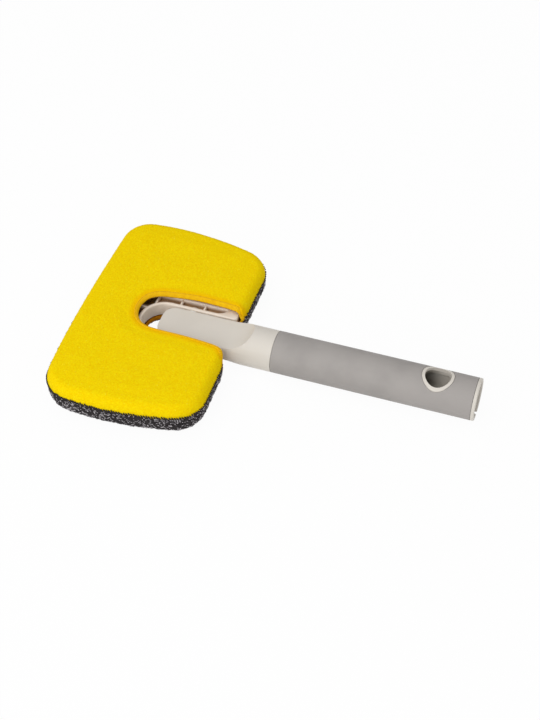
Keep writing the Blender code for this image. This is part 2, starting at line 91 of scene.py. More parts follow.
window_margin = 0.0039
window_low_y, window_high_y = second_outer + 0.007, second_outer + 0.046
rear_window_x = turned_end_x - 0.0052
front_window_x, front_window_y = front_x + 0.0115, 0.0008
round_margin = 0.0045
side_window_low_y, side_window_high_y = 0.0152, 0.046
ivory_color = (0.87, 0.77, 0.67, 1)
ivory_shade = (0.81, 0.71, 0.60, 1)
# Painted shade: a warm dark brown laid on the moulding deep between the walls, standing in for the
# shadow in those cavities.
painted_recess_shade = (0.38, 0.20, 0.075, 1)


class Signal:
    """An output in a material, on which sums are written as plain Python expressions."""

    def __init__(self, socket):
        self.socket = socket

    def node(self, kind, settings, inputs, output=0):
        """Add a node: its settings first, and then the values or links of its sockets."""
        tree = self.socket.id_data
        made = tree.nodes.new(kind)
        for name, value in settings.items():
            setattr(made, name, value)
        for name, value in inputs.items():
            if isinstance(value, Signal):
                tree.links.new(value.socket, made.inputs[name])
            else:
                made.inputs[name].default_value = value
        return Signal(made.outputs[output])

    def maths(self, operation, first, second=0.0):
        return self.node("ShaderNodeMath", {"operation": operation}, {0: first, 1: second})

    def __add__(self, other):
        return self.maths("ADD", self, other)

    __radd__ = __add__

    def __sub__(self, other):
        return self.maths("SUBTRACT", self, other)

    def __rsub__(self, other):
        return self.maths("SUBTRACT", other, self)

    def __mul__(self, other):
        return self.maths("MULTIPLY", self, other)

    __rmul__ = __mul__

    def part(self, axis):
        """One coordinate of this place."""
        return self.node("ShaderNodeSeparateXYZ", {}, {0: self}, axis)

    def noise(self, scale, detail=2.0, roughness=0.5):
        """Noise over this place, about 0.5 in the middle."""
        return self.node("ShaderNodeTexNoise", {}, {
            "Vector": self, "Scale": scale, "Detail": detail, "Roughness": roughness})

    def step(self, low, high):
        """0 under the low value, 1 over the high one, and smooth between them."""
        return self.node("ShaderNodeMapRange", {"interpolation_type": "SMOOTHSTEP"},
                         {"Value": self, "From Min": low, "From Max": high})

    def blend(self, first, second):
        """A colour between two, by this share."""
        return self.node("ShaderNodeMix", {"data_type": "RGBA"}, {0: self, 6: first, 7: second}, 2)

    def bump(self, strength, distance):
        return self.node("ShaderNodeBump", {}, {"Height": self, "Strength": strength,
                                                "Distance": distance})

    def into(self, socket):
        self.socket.id_data.links.new(self.socket, socket)


def new_finish(name, constants):
    """A material with its constant sockets set: its shader's inputs, and its place as a signal."""
    material = bpy.data.materials.new(name)
    material.use_nodes = True
    tree = material.node_tree
    shader = tree.nodes["Principled BSDF"].inputs
    for socket, value in constants.items():
        shader[socket].default_value = value
    return material, shader, Signal(tree.nodes.new("ShaderNodeTexCoord").outputs["Object"])


def moulded(name, light, dark, roughness, grain_depth, painted_shade_share=None, shade=None):
    """Moulded plastic: faint clouds of shade, fine spark-eroded grain and a few rubbed patches.
    Painted shade darkens some places, by a share that a function of the place gives."""
    material, shader, place = new_finish(name, {"Specular IOR Level": 0.45})
    clouds = place.noise(38, 3).step(0.35, 0.7)
    tint = clouds.blend(light, dark)
    if painted_shade_share:
        tint = painted_shade_share(place).blend(tint, shade)
    tint.into(shader["Base Color"])
    rubbed = place.noise(90, 4, 0.6).step(0.5, 0.75)
    (roughness + 0.08 * place.noise(1400, 2) - 0.07 * rubbed).into(shader["Roughness"])
    grain = place.noise(2600, 2) + 0.6 * place.noise(210, 2)
    grain.bump(grain_depth, 0.0002).into(shader["Normal"])
    return material


def piece_from(form, name, material, body, sharp=40):
    """Turn a finished bmesh into a piece that rides on its body."""
    bmesh.ops.remove_doubles(form, verts=form.verts, dist=0.000004)
    bmesh.ops.recalc_face_normals(form, faces=form.faces)
    mesh = bpy.data.meshes.new(name)
    form.to_mesh(mesh)
    form.free()
    mesh.shade_smooth()
    mesh.set_sharp_from_angle(angle=math.radians(sharp))
    mesh.materials.append(material)
    piece = bpy.data.objects.new(name, mesh)
    bpy.context.scene.collection.objects.link(piece)
    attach(piece, body)
    return piece


def trace(form, start, moves):
    """A line of vertices: a move goes straight on to a place in steps, or turns about a centre."""
    tip = bmesh.ops.create_vert(form, co=(*start, 0))["vert"][0]
    line = [tip]
    for place, amount, steps in moves:
        if amount:
            known = set(form.verts)
            bmesh.ops.spin(form, geom=[tip], cent=(*place, 0), axis=(0, 0, 1),
                           angle=math.radians(amount), steps=steps)
            line += [vert for vert in form.verts if vert not in known]
            tip = line[-1]
            continue
        stride = (Vector((*place, 0)) - tip.co) / steps
        for _ in range(steps):
            tip = bmesh.ops.extrude_vert_indiv(form, verts=[tip])["verts"][0]
            tip.co += stride
            line.append(tip)
    return line


def half_and_mirror(form):
    """Mirror a line that starts or ends on the middle plane, and join it there."""
    doubled = bmesh.ops.duplicate(form, geom=list(form.verts) + list(form.edges))["geom"]
    verts = [item for item in doubled if isinstance(item, bmesh.types.BMVert)]
    bmesh.ops.scale(form, vec=(1, -1, 1), verts=verts)
    bmesh.ops.remove_doubles(form, verts=form.verts, dist=merge_distance)


def raise_plate(form, half_height, rounding, segments=3):
    """Fill a closed outline, raise it evenly about the axis, and round its top and bottom edges."""
    face = bmesh.ops.contextual_create(form, geom=list(form.edges))["faces"]
    raised = bmesh.ops.extrude_face_region(form, geom=face)["geom"]
    top = [item for item in raised if isinstance(item, bmesh.types.BMVert)]
    bmesh.ops.translate(form, vec=(0, 0, 2 * half_height), verts=top)
    bmesh.ops.translate(form, vec=(0, 0, axis_z - half_height), verts=form.verts)
    bmesh.ops.recalc_face_normals(form, faces=form.faces)
    if rounding:
        level = [edge for edge in form.edges if abs(edge.verts[0].co.z - edge.verts[1].co.z) < 1e-6]
        bmesh.ops.bevel(form, geom=level, offset=rounding, affect="EDGES", segments=segments,
                        profile=0.5, material=-1)


def bowed(x, y):
    """The front edge draws back towards its corners, and the rear edges reach out there."""
    away = (y / half_width) ** 2
    middle_x = front_x + head_length / 2
    share = (x - middle_x) / (head_length / 2)
    return x + away * (front_draw * max(-share, 0) + rear_reach * max(share, 0))


def head_outline(inset, start_y, detail):
    """Half of the head's plan at +Y as a line: rear edge, rear corner, bowed side, front corner and
    front edge, drawn in by an inset. Detail multiplies its steps."""
    bow_centre = half_width + side_bow_rise - side_bow_radius
    corners = []
    for edge_x, facing, radius in ((rear_x, 1, rear_corner), (front_x, -1, front_corner)):
        round_radius = max(radius - inset, least_corner)
        x = edge_x - facing * (inset + round_radius)
        reach = side_bow_radius - inset - round_radius
        y = bow_centre + math.sqrt(reach ** 2 - (x - widest_x) ** 2)
        angle = math.degrees(math.atan2(y - bow_centre, x - widest_x))
        corners.append((x, y, angle))
    rear, front = corners
    form = bmesh.new()
    line = trace(form, (rear_x - inset, start_y), [
        ((rear_x - inset, rear[1]), 0, edge_steps * detail),
        (rear[:2], rear[2], corner_steps * detail),
        ((widest_x, bow_centre), front[2] - rear[2], side_steps * detail),
        (front[:2], 180 - front[2], corner_steps * detail),
        ((front_x + inset, 0), 0, side_steps * detail)])
    points = [Vector((bowed(vert.co.x, vert.co.y), vert.co.y, 0)) for vert in line]
    form.free()
    return points


def low_down(place):
    """Where painted shade falls on the moulding: deep between the walls, outside the slot."""
    x, y, height = [place.part(axis) for axis in range(3)]
    ahead = (x - slot_round_x).maths("MINIMUM", x - slot_round_x, 0.0)
    from_slot = place.maths("SQRT", ahead * ahead + y * y)
    return 0.85 * (1.0 - (height - axis_z).step(0.0015, 0.0053)) * from_slot.step(0.0166, 0.0182)


ivory = moulded("ivory_moulding", ivory_color, ivory_shade, 0.42, 0.16, low_down, painted_recess_shade)

rim = bmesh.new()
trace(rim, (slot_round_x - slot_half, 0), [
    ((slot_round_x, 0), -90, 14),
    ((turned_end_x - turned_inner, slot_half), 0, 3),
    ((turned_end_x - turned_inner, slot_half + turned_inner), 90, 4),
    ((turned_end_x, second_outer - turned_outer), 0, 2),
    ((turned_end_x - turned_outer, second_outer - turned_outer), 90, 5),
    ((second_tip_x, second_outer), 0, 6),
    ((second_tip_x, second_outer - tip_radius), 180, 5),
    ((pocket_end_x, second_inner), 0, 6),
    ((pocket_end_x, second_inner - pocket_corner), -76, 4),
    ((pocket_slope_x, slot_half + rim_wall + pocket_slope_width), 0, 2),
    ((pocket_start_x, slot_half + rim_wall), 0, 2),
    ((slot_round_x, slot_half + rim_wall), 0, 4),
    ((slot_round_x, 0), 90, 14)])
half_and_mirror(rim)
raise_plate(rim, rim_half_height, lip_rounding)


def add_block(form, low, high, rounding=0.0):
    """A rounded block between two corners, in a bmesh of its piece."""
    size = [top - bottom for bottom, top in zip(low, high)]
    middle = [(top + bottom) / 2 for bottom, top in zip(low, high)]
    at = Matrix.LocRotScale(middle, None, size)
    verts = bmesh.ops.create_cube(form, size=1, matrix=at)["verts"]
    if rounding:
        edges = list(dict.fromkeys(edge for vert in verts for edge in vert.link_edges))
        bmesh.ops.bevel(form, geom=edges, offset=rounding, affect="EDGES", segments=2, profile=0.5,
                        material=-1)


rib_low, rib_high = axis_z - rim_half_height + rib_drop, axis_z + rim_half_height - rib_drop
rib_places = [second_tip_x + rib_pitch * k for k in range(3)]
half_rib = rib_thickness / 2
for side in (1, -1):
    for x in rib_places:
        near = math.sqrt((slot_half + overlap) ** 2 - max(slot_round_x - x, 0) ** 2)
        for start, end in ((near, second_inner + overlap), (second_outer - overlap, rib_end_y)):
            low_y, high_y = sorted((side * start, side * end))
            add_block(rim, (x - half_rib, low_y, rib_low), (x + half_rib, high_y, rib_high),
                      rib_rounding)
    round_x = slot_round_x - math.sqrt((slot_half + overlap) ** 2 - front_rib_y ** 2)
    add_block(rim, (front_x + frame_inset + overlap, side * front_rib_y - half_rib, rib_low),
              (round_x, side * front_rib_y + half_rib, rib_high), rib_rounding)
    turn = Matrix.Rotation(-math.pi / 2 * side, 4, "X")
    at = Matrix.Translation((pivot_x, side * (slot_half + rim_wall + boss_height / 2), axis_z))
    bmesh.ops.create_cone(rim, cap_ends=True, segments=32, radius1=boss_radius,
                          radius2=boss_radius - boss_taper, depth=boss_height, matrix=at @ turn)


def add_line(form, points):
    """Vertices at some points, joined in a row."""
    verts = [bmesh.ops.create_vert(form, co=point)["vert"][0] for point in points]
    for first, second in zip(verts, verts[1:]):
        form.edges.new((first, second))
    return verts


outer_wall = bmesh.new()
for inset in (frame_inset, frame_inset + rim_wall):
    add_line(outer_wall, head_outline(inset, second_outer - wall_overlap, 1))
half_and_mirror(outer_wall)
bmesh.ops.bridge_loops(outer_wall, edges=list(outer_wall.edges))
raised = bmesh.ops.extrude_face_region(outer_wall, geom=list(outer_wall.faces))["geom"]
bmesh.ops.translate(outer_wall, vec=(0, 0, 2 * rim_half_height - rib_drop),
                    verts=[item for item in raised if isinstance(item, bmesh.types.BMVert)])
bmesh.ops.translate(outer_wall, vec=(0, 0, axis_z - rim_half_height + rib_drop / 2),
                    verts=outer_wall.verts)

web = bmesh.new()
tip = add_line(web, head_outline(frame_inset + overlap, slot_half + overlap, 1))[0]
trace(web, (slot_round_x - slot_half - overlap, 0), [
    ((slot_round_x, 0), -90, 8), ((tip.co.x, slot_half + overlap), 0, 1)])
half_and_mirror(web)
raise_plate(web, web_half, 0)
half_windows = [(start + window_margin, window_low_y, end - window_margin, window_high_y)
                for start, end in zip(rib_places, rib_places[1:] + [rear_window_x])]
half_windows += [(front_window_x, front_window_y, slot_round_x - slot_half - round_margin,
                  front_rib_y - rib_thickness),
                 (front_window_x, side_window_low_y, rib_places[0] - rib_thickness,
                  side_window_high_y)]
windows = half_windows + [(low_x, -high_y, high_x, -low_y)
                          for low_x, low_y, high_x, high_y in half_windows]
cuts = {(axis, window[k]) for window in windows for axis, k in ((0, 0), (1, 1), (0, 2), (1, 3))}
for axis, distance in sorted(cuts | {(1, 0.0)}, reverse=True):
    normal = Vector((1 - axis, axis, 0))
    bmesh.ops.bisect_plane(web, geom=list(web.verts) + list(web.edges) + list(web.faces),
                           plane_co=distance * normal, plane_no=normal)
for low_x, low_y, high_x, high_y in windows:
    inside = [face for face in web.faces if abs(face.normal.z) > 0.5
              and low_x < face.calc_center_median().x < high_x
              and low_y < face.calc_center_median().y < high_y]
    rims = [edge for edge in dict.fromkeys(edge for face in inside for edge in face.edges)
            if sum(face in inside for face in edge.link_faces) == 1]
    bmesh.ops.delete(web, geom=inside, context="FACES")
    bmesh.ops.bridge_loops(web, edges=rims)

frame_form = bmesh.new()
for part in (rim, outer_wall, web):
    bmesh.ops.recalc_face_normals(part, faces=part.faces)
    mesh = bpy.data.meshes.new("part")
    part.to_mesh(mesh)
    part.free()
    frame_form.from_mesh(mesh)
    bpy.data.meshes.remove(mesh)
moulding = piece_from(frame_form, "head_moulding", ivory, "head")
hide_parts("head_frame")

# The pivot is a headed steel pin with a push-on ring, and an acetal washer lies on each side of the
# tongue to give the tilt its stiffness. All are turned or stamped parts, pressed in from one side.
brushed, shader, place = new_finish("brushed_pin_steel", {"Metallic": 1.0})
rings = place.node("ShaderNodeTexWave", {"wave_type": "RINGS", "rings_direction": "Y"},
                   {"Vector": place, "Scale": 900.0, "Distortion": 2.0, "Detail": 2.0})
rings.blend((0.62, 0.62, 0.60, 1), (0.46, 0.46, 0.45, 1)).into(shader["Base Color"])
(0.24 + 0.18 * rings).into(shader["Roughness"])
acetal = moulded("white_acetal_washer", (0.85, 0.85, 0.82, 1), (0.78, 0.78, 0.74, 1), 0.38, 0.08)
for node, finish in (("pivot_pin", brushed), ("pin_retaining_ring", brushed),
                     ("friction_washer_left", acetal), ("friction_washer_right", acetal)):
    mesh = frame["nodes"][node].data
    mesh.materials.clear()
    mesh.materials.append(finish)

# The cover is a sewn sock of two cloths over foam, and its upper half is yellow looped scouring
# cloth. The seam runs round the head above its middle. The elastic pulls the cloth's opening in
# round the slot, a little off the middle.
top_height = 0.0133
crown_rise, crown_run = 0.0007, 0.008
edge_run = 0.0095
mouth_run = 0.006
seam_height = 0.0026
hem_height = 0.0101
cloth_thickness = 0.0011
puff_height, puff_scale, puff_run = 0.00045, 55, 0.012
near_draw, far_draw, far_stretch = 0.0018, -0.0008, 0.016
draw_start_x = rear_x - 0.02
hem_steps, lead_steps, edge_detail = 14, 8, 3
end_steps, end_back, end_aside = 26, 0.95, 0.62
lead_from_y = half_width * 0.48
lead_bend, lead_rise, lead_end = 0.7, 0.0035, 0.0085
hem_calm, tint_from, tint_run, hem_shade_share = 0.004, 0.0035, 0.0035, 0.8
side_fade = 0.2
corner_blend = 0.018
around, across = 170, 30
reading_way = Vector((1, 0.3, 0.1))
opening_route = ((-0.0318, -0.0262), (-0.0345, -0.0222), (-0.0400, -0.0188), (-0.0620, -0.0168),
                 (-0.0880, -0.0163), (-0.0975, -0.0144), (-0.1040, -0.0090), (-0.1073, -0.0015),
                 (-0.1073, 0.0065), (-0.1040, 0.0146), (-0.0965, 0.0196), (-0.0854, 0.0218),
                 (-0.0760, 0.0231), (-0.0664, 0.0239), (-0.0550, 0.0236), (-0.0430, 0.0230),
                 (-0.0366, 0.0220), (-0.0318, 0.0212))


def flowing(points, steps):
    """A smooth line through some places, with the same number of steps between each two."""
    ends = [2 * Vector(points[0]) - Vector(points[1])] + [Vector(point) for point in points]
    ends.append(2 * ends[-1] - ends[-2])
    line = []
    for before, start, end, after in zip(ends, ends[1:], ends[2:], ends[3:]):
        for k in range(steps):
            t = k / steps
            line.append(0.5 * ((2 * start) + (end - before) * t
                               + (2 * before - 5 * start + 4 * end - after) * t ** 2
                               + (3 * start - before - 3 * end + after) * t ** 3))
    return line + [ends[-2]]


def even_places(line, count):
    """Fractional places along a line, the same length apart."""
    lengths = [0.0]
    for first, second in zip(line, line[1:]):
        lengths.append(lengths[-1] + (second - first).length)
    places, segment = [], 0
    for k in range(count + 1):
        wanted = lengths[-1] * k / count
        while segment < len(line) - 2 and lengths[segment + 1] < wanted:
            segment += 1
        span = max(lengths[segment + 1] - lengths[segment], 1e-9)
        places.append(segment + min((wanted - lengths[segment]) / span, 1.0))
    return places


def at_places(line, places):
    """The points of a line at fractional places."""
    found = []
    for place in places:
        k = min(int(place), len(line) - 2)
        found.append(line[k].lerp(line[k + 1], place - k))
    return found


def smooth_share(value):
    value = min(max(value, 0.0), 1.0)
    return value * value * (3 - 2 * value)


def mouth_lines(route, run):
    """The hem of the opening, and the line where the cloth beside it reaches its full height. The
    ends of that line are straight, so that it doesn't cross itself at the slot's corners."""
    hem = flowing([(x, y, 0) for x, y in route], hem_steps)
    crest = []
    for k, point in enumerate(hem):
        along = hem[min(k + 1, len(hem) - 1)] - hem[max(k - 1, 0)]
        crest.append(point + run * Vector((-along.y, along.x, 0)).normalized())
    for side, first, inward in ((-1, 0, 1), (1, len(hem) - 1, -1)):
        end = hem[first] + run * Vector((-end_back, end_aside * side, 0))
        stop = crest[first + inward * end_steps]
        for k in range(end_steps):
            crest[first + inward * k] = end.lerp(stop, k / end_steps)
    return hem, crest


def edge_lines(inset, corners):
    """The head's outline from the near slot corner round the front to the far one, drawn in by an
    inset, with its ends led to the opening's corners."""
    half = head_outline(inset, lead_from_y, edge_detail)
    lines = []
    for side, draw, stretch, (end_x, end_y) in ((-1, near_draw, 0.0, corners[0]),
                                                (1, far_draw, far_stretch, corners[1])):
        points = []
        for point in half:
            share = min(max((draw_start_x - point.x) / (head_length / 2), 0), 1)
            drawn = draw * share * (point.y / half_width) ** 4
            points.append(Vector((point.x + drawn, side * point.y * (1 + stretch * share), 0)))
        start = points[0]
        bend_x = end_x + (start.x - end_x) * lead_bend
        lead = flowing([(end_x, end_y), (bend_x, end_y + side * lead_rise),
                        (start.x, end_y + side * lead_end), (start.x, start.y)], lead_steps)[:-1]
        lines.append([Vector((point.x, point.y, 0)) for point in lead] + points)
    return lines[0] + lines[1][::-1][1:]


def cushion_lines(route, run, inset, across, around):
    """Four sides of one cloth half's face, in order round it, as pairs of lines: the crest where
    the face starts and the hem or seam where the rolled edge ends."""
    hem, hem_crest = mouth_lines(route, run)
    seam, crest = [edge_lines(drawn_in, [(line[k].x, line[k].y) for k in (0, -1)])
                   for line, drawn_in in ((hem, inset), (hem_crest, inset + edge_run))]
    corner_at = 3 * lead_steps + edge_detail * (edge_steps + corner_steps // 2)
    places = even_places(hem_crest, around)
    sides = [(at_places(hem_crest, places), at_places(hem, places))]
    stops = (len(seam) - 1, len(seam) - 1 - corner_at, corner_at, 0)
    for start, end, count in zip(stops, stops[1:], (across, around, across)):
        crest_part = [crest[k] for k in range(start, end - 1, -1)]
        seam_part = [seam[k] for k in range(start, end - 1, -1)]
        places = even_places(crest_part, count)
        sides.append((at_places(crest_part, places), at_places(seam_part, places)))
    return sides


def in_order(form):
    """Sort edges and faces by place, because extruding leaves them in another order each run."""
    form.edges.sort(key=lambda edge: (edge.verts[0].co + edge.verts[1].co).dot(reading_way))
    form.faces.sort(key=lambda face: face.calc_center_median().dot(reading_way))
    return form


def cloth_half(route, height, hem_z, facing, around, across, rows, end_height, depth=0.0,
               fullness=0.77):
    """A cloth half as a bmesh: its face is a grid between the four sides, and the rolled edge is
    extruded row by row down to the hem and to the seam's height. Returns it with its last line, the
    share of that line that is hem, and the directions from it to the face."""
    sides = cushion_lines(route, mouth_run, depth, across, around)
    mouth, far_end, edge, near_end = [side[0] for side in sides]
    edge, near_end = edge[::-1], near_end[::-1]
    form = bmesh.new()
    bmesh.ops.create_grid(form, x_segments=around, y_segments=across, size=0.5)
    mark = form.verts.layers.int.new("station")
    tree = KDTree(sum(len(side[0]) for side in sides))
    for number, point in enumerate(point for side in sides for point in side[0]):
        tree.insert(point, number)
    tree.balance()
    ring_crest, ring_end = [], []
    for crest_line, end_line in sides:
        ring_crest += crest_line[:-1]
        ring_end += end_line[:-1]
    total = len(ring_crest)
    face_z = height - crown_rise - depth
    for vert in form.verts:
        u, v = vert.co.x + 0.5, vert.co.y + 0.5
        i, j = round(u * around), round(v * across)
        start, end = mouth[i], edge[i]
        point = start.lerp(end, v)
        for line, share, low, high in ((near_end, 1 - u, mouth[0], edge[0]),
                                       (far_end, u, mouth[-1], edge[-1])):
            fade = smooth_share((share - (1 - side_fade)) / side_fade)
            point += fade * (line[j] - low.lerp(high, v))
        away = tree.find(point)[2]
        lift = crown_rise * smooth_share(away / crown_run)
        puff = puff_height * noise.noise(point * puff_scale + Vector((3, 0, facing)))
        vert.co = (point.x, point.y, face_z + lift + puff * smooth_share(away / puff_run))
        on_mouth, on_far, on_edge, on_near = j == 0, i == around, j == across, i == 0
        if on_mouth and i < around:
            vert[mark] = i
        elif on_far and j < across:
            vert[mark] = around + j
        elif on_edge and i > 0:
            vert[mark] = around + across + (around - i)
        elif on_near:
            vert[mark] = 2 * around + across + (across - j)
    blend = []
    for k in range(total):
        inward = min(k, around - k) if k <= around else -1
        blend.append(smooth_share(inward / (corner_blend * around)) if inward >= 0 else 0.0)
    boundary = [item for item in form.edges if item.is_boundary]
    last = []
    for row in range(1, rows + 1):
        made = bmesh.ops.extrude_edge_only(form, edges=boundary)["geom"]
        last = [item for item in made if isinstance(item, bmesh.types.BMVert)]
        boundary = [item for item in made if isinstance(item, bmesh.types.BMEdge)
                    and item.is_boundary and all(vert in last for vert in item.verts)]
        for vert in last:
            k = vert[mark]
            share = blend[k]
            base_z = share * (hem_z - depth)
            rise = end_height / (face_z - base_z)
            steepness = math.asin(min(abs(rise), 0.9) ** (1 / fullness))
            low_angle = (1 - share) * math.copysign(steepness, rise)
            angle = math.pi / 2 + (low_angle - math.pi / 2) * row / rows
            point = ring_end[k].lerp(ring_crest[k], 1 - math.cos(angle) ** fullness)
            rise = math.copysign(abs(math.sin(angle)) ** fullness, angle)
            vert.co = (point.x, point.y, base_z + (face_z - base_z) * rise)
    ring = [None] * total
    for vert in last:
        ring[vert[mark]] = Vector((vert.co.x, vert.co.y, axis_z + facing * vert.co.z))
    for vert in form.verts:
        vert.co.z = axis_z + facing * vert.co.z
    aways = [(crest - end).normalized() for crest, end in zip(ring_crest, ring_end)]
    return in_order(form), ring, blend, aways


def settled(piece):
    """The piece with its modifiers applied."""
    bpy.context.view_layer.update()
    graph = bpy.context.evaluated_depsgraph_get()
    mesh = bpy.data.meshes.new_from_object(piece.evaluated_get(graph))
    piece.modifiers.clear()
    old = piece.data
    piece.data = mesh
    bpy.data.meshes.remove(old)
    return piece


def subdivided(piece):
    smooth = piece.modifiers.new("smooth", "SUBSURF")
    smooth.levels = smooth.render_levels = 1
    return settled(piece)


def thickened(piece, thickness):
    """Cloth thickness, inward from its outer surface."""
    wall = piece.modifiers.new("cloth", "SOLIDIFY")
    wall.thickness = thickness
    wall.offset = -1
    return piece


def roughened(piece, hem, amount, scale, floor_at):
    """Raise and sink the points of a cloth by small noise along its normals, over the floor. It
    fades towards the hem. An attribute holds the share of painted shade beside the hem."""
    mesh = piece.data
    tree = KDTree(len(hem))
    for number, point in enumerate(hem):
        tree.insert(point, number)
    tree.balance()
    gaps = [tree.find(vert.co)[2] for vert in mesh.vertices]
    shifts = [vert.normal * amount * noise.noise(vert.co * scale) * smooth_share(gap / hem_calm)
              for vert, gap in zip(mesh.vertices, gaps)]
    marks = mesh.attributes.new("near_hem", "FLOAT", "POINT").data
    for vert, shift, gap, mark in zip(mesh.vertices, shifts, gaps, marks):
        mark.value = hem_shade_share * (1 - smooth_share((gap - tint_from) / tint_run))
        vert.co = vert.co + shift
        vert.co.z = max(vert.co.z, floor_at)
    return piece


yellow, shader, place = new_finish("yellow_looped_cloth", {"Specular IOR Level": 0.03})
loops = place.node("ShaderNodeTexVoronoi", {},
                   {"Vector": place, "Scale": 1150.0, "Randomness": 1.0})
clumps = place.noise(880, 3, 0.65)
mottle = place.noise(95, 3, 0.6)
tone = (1.1 * clumps + 0.12 * mottle - 0.1).step(0.2, 0.8)
near_hem = place.node("ShaderNodeAttribute", {"attribute_name": "near_hem"}, {}, 2)
body_color = tone.blend((0.90, 0.575, 0.0, 1), (0.97, 0.765, 0.003, 1))
# Painted shade: beside the hem the cloth turns orange, as in the shaded groove where the elastic
# pulls it in.
body_color = near_hem.blend(body_color, (0.95, 0.54, 0.001, 1))
# Painted highlights: small bright specks where fibre tips catch the light; they are also a little
# less rough.
painted_glints = place.noise(1100, 2).step(0.66, 0.78)
painted_glints.blend(body_color, (1.0, 0.88, 0.05, 1)).into(shader["Base Color"])
(0.97 - 0.15 * painted_glints).into(shader["Roughness"])
((1.0 - loops) + clumps).bump(0.4, 0.0004).into(shader["Normal"])
form, upper_ring, mouth_share, upper_away = cloth_half(opening_route, top_height, hem_height, 1,
                                                       around, across, 9, seam_height)
scouring = subdivided(piece_from(form, "scouring_cloth", yellow, "head",
                                 180))
thickened(roughened(scouring, upper_ring[:around], 0.00022, 620, 0), cloth_thickness)
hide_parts("scouring_face")

# The knit half is dark grey polyester yarn with a flat silver yarn run in, which shows as short
# light dashes. It is knitted in coarse courses, and sewn to the yellow cloth along the side band.
bottom_height = axis_z
lower_hem_height = 0.0119
lower_route = ((-0.0318, -0.0262), (-0.0345, -0.0222), (-0.0400, -0.0194), (-0.0620, -0.0188),
               (-0.0880, -0.0188), (-0.0965, -0.0160), (-0.1015, -0.0105), (-0.1036, -0.0030),
               (-0.1036, 0.0040), (-0.1015, 0.0110), (-0.0960, 0.0160), (-0.0860, 0.0188),
               (-0.0760, 0.0190), (-0.0664, 0.0190), (-0.0550, 0.0190), (-0.0430, 0.0196),
               (-0.0366, 0.0204), (-0.0318, 0.0212))
knit, shader, place = new_finish("charcoal_knit", {"Specular IOR Level": 0.15})
turned = place.node("ShaderNodeMapping", {}, {"Vector": place, "Scale": (1.0, 1.0, 2.0)})
yarn = turned.node("ShaderNodeTexVoronoi", {"feature": "F1"}, {"Vector": turned, "Scale": 560.0})
strands = turned.noise(900, 3, 0.7)
shades = (0.7 * yarn + 0.6 * strands).step(0.25, 0.95)
shades.blend((0.007, 0.0055, 0.006, 1), (0.045, 0.038, 0.041, 1)).into(shader["Base Color"])
(0.9 - 0.15 * strands).into(shader["Roughness"])
((1.0 - yarn) + 0.7 * strands).bump(0.8, 0.0008).into(shader["Normal"])
form, lower_ring, lower_share, lower_away = cloth_half(lower_route, bottom_height,
                                                       lower_hem_height, -1, around, across, 12,
                                                       -seam_height, fullness=0.83)
scrub = subdivided(piece_from(form, "scrub_cloth", knit, "head", 180))
thickened(roughened(scrub, lower_ring[:around], 0.0007, 480, 0.00015), cloth_thickness)
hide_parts("scrub_face")

silver, shader, place = new_finish("silver_yarn", {"Metallic": 0.2})
glints = place.noise(300, 2).step(0.3, 0.7)
glints.blend((0.25, 0.23, 0.25, 1), (0.72, 0.68, 0.70, 1)).into(shader["Base Color"])
(0.35 + 0.2 * place.noise(900, 2)).into(shader["Roughness"])
chance = random.Random(11)


def grains(places):
    """Many small round-ended bits in one bmesh, each at its own matrix. They are made in short
    runs, because an operator slows down as its mesh grows."""
    whole = bmesh.new()
    for first in range(0, len(places), 50):
        run = bmesh.new()
        for place in places[first:first + 50]:
            bmesh.ops.create_uvsphere(run, u_segments=6, v_segments=4, radius=1, matrix=place)
        mesh = bpy.data.meshes.new("run")
        run.to_mesh(mesh)
        run.free()
        whole.from_mesh(mesh)
        bpy.data.meshes.remove(mesh)
    return whole


sole_top = 0.003
dash_lengths, dash_widths, dash_height = (0.0005, 0.0012), (0.00019, 0.0003), 0.00024
dash_lift, dash_clearance = 0.00014, 0.00025
band_faces = [face for face in scrub.data.polygons if face.center.z > sole_top]
sole_faces = [face for face in scrub.data.polygons if face.center.z <= sole_top]
dashes = []
for faces, count in ((band_faces, 2200), (sole_faces, 2900)):
    for face in chance.choices(faces, weights=[face.area for face in faces], k=count):
        level = face.normal.cross(Vector((0, 0, 1)))
        if level.length < 0.3:
            level = Vector((0, 1, 0)).cross(face.normal)
        level.normalize()
        angle = chance.choice((-38, 32)) + chance.uniform(-14, 14)
        lean = Matrix.Rotation(math.radians(angle), 3, face.normal) @ level
        across_lean = face.normal.cross(lean)
        basis = Matrix((lean, across_lean, face.normal)).transposed().to_4x4()
        size = (chance.uniform(*dash_lengths), chance.uniform(*dash_widths), dash_height)
        point = face.center + face.normal * dash_lift
        point.z = max(point.z, dash_clearance + abs(lean.z) * size[0])
        dashes.append(Matrix.Translation(point) @ basis @ Matrix.Diagonal((*size, 1)))
piece_from(grains(dashes), "silver_yarn", silver, "head", 180)

# Two sheets of open-cell sponge lie between the frame and the cover, one above and one below. They
# are cut flat on the frame's side and give the head its rounded edge.
foam, shader, place = new_finish("open_cell_sponge", {"Specular IOR Level": 0.2})
cells = place.node("ShaderNodeTexVoronoi", {}, {"Vector": place, "Scale": 900.0})
open_cells = (cells + 0.3 * place.noise(200, 2)).step(0.1, 0.8)
